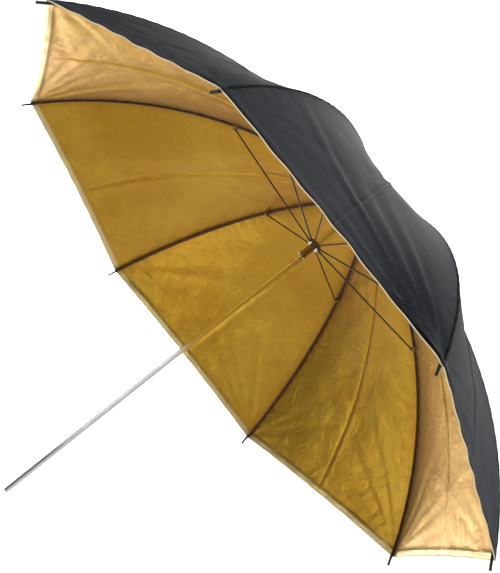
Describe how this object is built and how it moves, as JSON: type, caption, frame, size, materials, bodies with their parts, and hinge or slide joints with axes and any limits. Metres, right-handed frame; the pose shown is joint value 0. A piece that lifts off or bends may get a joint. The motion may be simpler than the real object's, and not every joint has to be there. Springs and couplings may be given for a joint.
{
  "type": "umbrella reflector",
  "caption": "Open studio umbrella reflector: gold-lined black canopy on curved ribs and stretchers, with a sliding runner on a straight tube shaft that shuts the frame.",
  "frame": {"origin": "centre of the flat free end of the shaft, where a light head's umbrella holder takes it", "axes": "+Y along the shaft towards the canopy's apex, so the gold side faces -Y; +Z through rib 1; ribs 2 to 8 follow anticlockwise seen from the free end"},
  "size_m": [1.0398, 0.7114, 1.0398],
  "materials": {
    "chrome": "polished",
    "steel_pin": "satin",
    "black_plastic": "satin moulded",
    "washer": "matte",
    "runner_metal": "dark painted",
    "rib_steel": "dark enamelled spring steel",
    "stretcher_steel": "dark enamelled steel",
    "clip_steel": "plated, satin",
    "tip_plastic": "satin",
    "gold_fabric": "gold metallised inside, black coated outside"
  },
  "bodies": {
    "shaft": {"shaft_tube": "chrome", "shaft_end_plug": "chrome", "runner_stop_pin": "steel_pin", "notch_pin": "steel_pin", "rib_notch": "black_plastic", "notch_wire": "steel_pin", "apex_washer": "washer", "apex_cap": "black_plastic", "catch_pin": "steel_pin"},
    "runner": {"runner": "runner_metal"},
    "catch": {"runner_catch": "steel_pin"},
    "panel_1_body": {"canopy_panel_1": "gold_fabric"},
    "rib_1_assembly": {"rib_1": "rib_steel", "rib_tip_1": "tip_plastic", "stretcher_clip_1": "clip_steel", "clip_rivet_1": "steel_pin"},
    "stretcher_1_body": {"stretcher_1": "stretcher_steel"},
    "panel_2_body": {"canopy_panel_2": "gold_fabric"},
    "rib_2_assembly": {"rib_2": "rib_steel", "rib_tip_2": "tip_plastic", "stretcher_clip_2": "clip_steel", "clip_rivet_2": "steel_pin"},
    "stretcher_2_body": {"stretcher_2": "stretcher_steel"},
    "panel_3_body": {"canopy_panel_3": "gold_fabric"},
    "rib_3_assembly": {"rib_3": "rib_steel", "rib_tip_3": "tip_plastic", "stretcher_clip_3": "clip_steel", "clip_rivet_3": "steel_pin"},
    "stretcher_3_body": {"stretcher_3": "stretcher_steel"},
    "panel_4_body": {"canopy_panel_4": "gold_fabric"},
    "rib_4_assembly": {"rib_4": "rib_steel", "rib_tip_4": "tip_plastic", "stretcher_clip_4": "clip_steel", "clip_rivet_4": "steel_pin"},
    "stretcher_4_body": {"stretcher_4": "stretcher_steel"},
    "panel_5_body": {"canopy_panel_5": "gold_fabric"},
    "rib_5_assembly": {"rib_5": "rib_steel", "rib_tip_5": "tip_plastic", "stretcher_clip_5": "clip_steel", "clip_rivet_5": "steel_pin"},
    "stretcher_5_body": {"stretcher_5": "stretcher_steel"},
    "panel_6_body": {"canopy_panel_6": "gold_fabric"},
    "rib_6_assembly": {"rib_6": "rib_steel", "rib_tip_6": "tip_plastic", "stretcher_clip_6": "clip_steel", "clip_rivet_6": "steel_pin"},
    "stretcher_6_body": {"stretcher_6": "stretcher_steel"},
    "panel_7_body": {"canopy_panel_7": "gold_fabric"},
    "rib_7_assembly": {"rib_7": "rib_steel", "rib_tip_7": "tip_plastic", "stretcher_clip_7": "clip_steel", "clip_rivet_7": "steel_pin"},
    "stretcher_7_body": {"stretcher_7": "stretcher_steel"},
    "panel_8_body": {"canopy_panel_8": "gold_fabric"},
    "rib_8_assembly": {"rib_8": "rib_steel", "rib_tip_8": "tip_plastic", "stretcher_clip_8": "clip_steel", "clip_rivet_8": "steel_pin"},
    "stretcher_8_body": {"stretcher_8": "stretcher_steel"}
  },
  "joints": [
    {"name": "runner_slide", "type": "slide", "parent": "shaft", "child": "runner", "axis": [0, -1, 0], "range_m": [0, 0.3582], "deforming": ["runner_catch"]},
    {"name": "rib_swing_1", "type": "hinge", "parent": "shaft", "child": "rib_1_assembly", "pos_m": [0, 0.69089, 0.0085], "axis": [1, 0, 0], "range_deg": [0, 61.1]},
    {"name": "panel_swing_1", "type": "hinge", "parent": "shaft", "child": "panel_1_body", "pos_m": [-0.003, 0.69089, 0.00726], "axis": [0.9239, 0, 0.3827], "range_deg": [0, 57.1], "deforming": ["canopy_panel_1"]},
    {"name": "stretcher_swing_1", "type": "hinge", "parent": "rib_1_assembly", "child": "stretcher_1_body", "pos_m": [0, 0.63568, 0.2458], "axis": [1, 0, 0], "range_deg": [-122.2, 0]},
    {"name": "rib_swing_2", "type": "hinge", "parent": "shaft", "child": "rib_2_assembly", "pos_m": [-0.00601, 0.69089, 0.00601], "axis": [0.7071, 0, 0.7071], "range_deg": [0, 61.1]},
    {"name": "panel_swing_2", "type": "hinge", "parent": "shaft", "child": "panel_2_body", "pos_m": [-0.00726, 0.69089, 0.003], "axis": [0.3827, 0, 0.9239], "range_deg": [0, 57.1], "deforming": ["canopy_panel_2"]},
    {"name": "stretcher_swing_2", "type": "hinge", "parent": "rib_2_assembly", "child": "stretcher_2_body", "pos_m": [-0.17381, 0.63568, 0.17381], "axis": [0.7071, 0, 0.7071], "range_deg": [-122.2, 0]},
    {"name": "rib_swing_3", "type": "hinge", "parent": "shaft", "child": "rib_3_assembly", "pos_m": [-0.0085, 0.69089, 0], "axis": [0, 0, 1], "range_deg": [0, 61.1]},
    {"name": "panel_swing_3", "type": "hinge", "parent": "shaft", "child": "panel_3_body", "pos_m": [-0.00726, 0.69089, -0.003], "axis": [-0.3827, 0, 0.9239], "range_deg": [0, 57.1], "deforming": ["canopy_panel_3"]},
    {"name": "stretcher_swing_3", "type": "hinge", "parent": "rib_3_assembly", "child": "stretcher_3_body", "pos_m": [-0.2458, 0.63568, 0], "axis": [0, 0, 1], "range_deg": [-122.2, 0]},
    {"name": "rib_swing_4", "type": "hinge", "parent": "shaft", "child": "rib_4_assembly", "pos_m": [-0.00601, 0.69089, -0.00601], "axis": [-0.7071, 0, 0.7071], "range_deg": [0, 61.1]},
    {"name": "panel_swing_4", "type": "hinge", "parent": "shaft", "child": "panel_4_body", "pos_m": [-0.003, 0.69089, -0.00726], "axis": [-0.9239, 0, 0.3827], "range_deg": [0, 57.1], "deforming": ["canopy_panel_4"]},
    {"name": "stretcher_swing_4", "type": "hinge", "parent": "rib_4_assembly", "child": "stretcher_4_body", "pos_m": [-0.17381, 0.63568, -0.17381], "axis": [-0.7071, 0, 0.7071], "range_deg": [-122.2, 0]},
    {"name": "rib_swing_5", "type": "hinge", "parent": "shaft", "child": "rib_5_assembly", "pos_m": [0, 0.69089, -0.0085], "axis": [-1, 0, 0], "range_deg": [0, 61.1]},
    {"name": "panel_swing_5", "type": "hinge", "parent": "shaft", "child": "panel_5_body", "pos_m": [0.003, 0.69089, -0.00726], "axis": [-0.9239, 0, -0.3827], "range_deg": [0, 57.1], "deforming": ["canopy_panel_5"]},
    {"name": "stretcher_swing_5", "type": "hinge", "parent": "rib_5_assembly", "child": "stretcher_5_body", "pos_m": [0, 0.63568, -0.2458], "axis": [-1, 0, 0], "range_deg": [-122.2, 0]},
    {"name": "rib_swing_6", "type": "hinge", "parent": "shaft", "child": "rib_6_assembly", "pos_m": [0.00601, 0.69089, -0.00601], "axis": [-0.7071, 0, -0.7071], "range_deg": [0, 61.1]},
    {"name": "panel_swing_6", "type": "hinge", "parent": "shaft", "child": "panel_6_body", "pos_m": [0.00726, 0.69089, -0.003], "axis": [-0.3827, 0, -0.9239], "range_deg": [0, 57.1], "deforming": ["canopy_panel_6"]},
    {"name": "stretcher_swing_6", "type": "hinge", "parent": "rib_6_assembly", "child": "stretcher_6_body", "pos_m": [0.17381, 0.63568, -0.17381], "axis": [-0.7071, 0, -0.7071], "range_deg": [-122.2, 0]},
    {"name": "rib_swing_7", "type": "hinge", "parent": "shaft", "child": "rib_7_assembly", "pos_m": [0.0085, 0.69089, 0], "axis": [0, 0, -1], "range_deg": [0, 61.1]},
    {"name": "panel_swing_7", "type": "hinge", "parent": "shaft", "child": "panel_7_body", "pos_m": [0.00726, 0.69089, 0.003], "axis": [0.3827, 0, -0.9239], "range_deg": [0, 57.1], "deforming": ["canopy_panel_7"]},
    {"name": "stretcher_swing_7", "type": "hinge", "parent": "rib_7_assembly", "child": "stretcher_7_body", "pos_m": [0.2458, 0.63568, 0], "axis": [0, 0, -1], "range_deg": [-122.2, 0]},
    {"name": "rib_swing_8", "type": "hinge", "parent": "shaft", "child": "rib_8_assembly", "pos_m": [0.00601, 0.69089, 0.00601], "axis": [0.7071, 0, -0.7071], "range_deg": [0, 61.1]},
    {"name": "panel_swing_8", "type": "hinge", "parent": "shaft", "child": "panel_8_body", "pos_m": [0.003, 0.69089, 0.00726], "axis": [0.9239, 0, -0.3827], "range_deg": [0, 57.1], "deforming": ["canopy_panel_8"]},
    {"name": "stretcher_swing_8", "type": "hinge", "parent": "rib_8_assembly", "child": "stretcher_8_body", "pos_m": [0.17381, 0.63568, 0.17381], "axis": [0.7071, 0, -0.7071], "range_deg": [-122.2, 0]},
    {"name": "catch_press", "type": "hinge", "parent": "shaft", "child": "catch", "pos_m": [0.00037, 0.53496, -0.00015], "axis": [0.3827, 0, 0.9239], "range_deg": [0, 8.5], "stiffness_Nm_per_rad": 0.1, "springref_deg": -8.59}
  ],
  "couplings": [
    {"joint": "rib_swing_1", "follows": "runner_slide", "rad_per_m": 2.9722},
    {"joint": "panel_swing_1", "follows": "runner_slide", "rad_per_m": 2.7773},
    {"joint": "stretcher_swing_1", "follows": "runner_slide", "rad_per_m": -5.9444},
    {"joint": "rib_swing_2", "follows": "runner_slide", "rad_per_m": 2.9722},
    {"joint": "panel_swing_2", "follows": "runner_slide", "rad_per_m": 2.7773},
    {"joint": "stretcher_swing_2", "follows": "runner_slide", "rad_per_m": -5.9444},
    {"joint": "rib_swing_3", "follows": "runner_slide", "rad_per_m": 2.9722},
    {"joint": "panel_swing_3", "follows": "runner_slide", "rad_per_m": 2.7773},
    {"joint": "stretcher_swing_3", "follows": "runner_slide", "rad_per_m": -5.9444},
    {"joint": "rib_swing_4", "follows": "runner_slide", "rad_per_m": 2.9722},
    {"joint": "panel_swing_4", "follows": "runner_slide", "rad_per_m": 2.7773},
    {"joint": "stretcher_swing_4", "follows": "runner_slide", "rad_per_m": -5.9444},
    {"joint": "rib_swing_5", "follows": "runner_slide", "rad_per_m": 2.9722},
    {"joint": "panel_swing_5", "follows": "runner_slide", "rad_per_m": 2.7773},
    {"joint": "stretcher_swing_5", "follows": "runner_slide", "rad_per_m": -5.9444},
    {"joint": "rib_swing_6", "follows": "runner_slide", "rad_per_m": 2.9722},
    {"joint": "panel_swing_6", "follows": "runner_slide", "rad_per_m": 2.7773},
    {"joint": "stretcher_swing_6", "follows": "runner_slide", "rad_per_m": -5.9444},
    {"joint": "rib_swing_7", "follows": "runner_slide", "rad_per_m": 2.9722},
    {"joint": "panel_swing_7", "follows": "runner_slide", "rad_per_m": 2.7773},
    {"joint": "stretcher_swing_7", "follows": "runner_slide", "rad_per_m": -5.9444},
    {"joint": "rib_swing_8", "follows": "runner_slide", "rad_per_m": 2.9722},
    {"joint": "panel_swing_8", "follows": "runner_slide", "rad_per_m": 2.7773},
    {"joint": "stretcher_swing_8", "follows": "runner_slide", "rad_per_m": -5.9444}
  ]
}
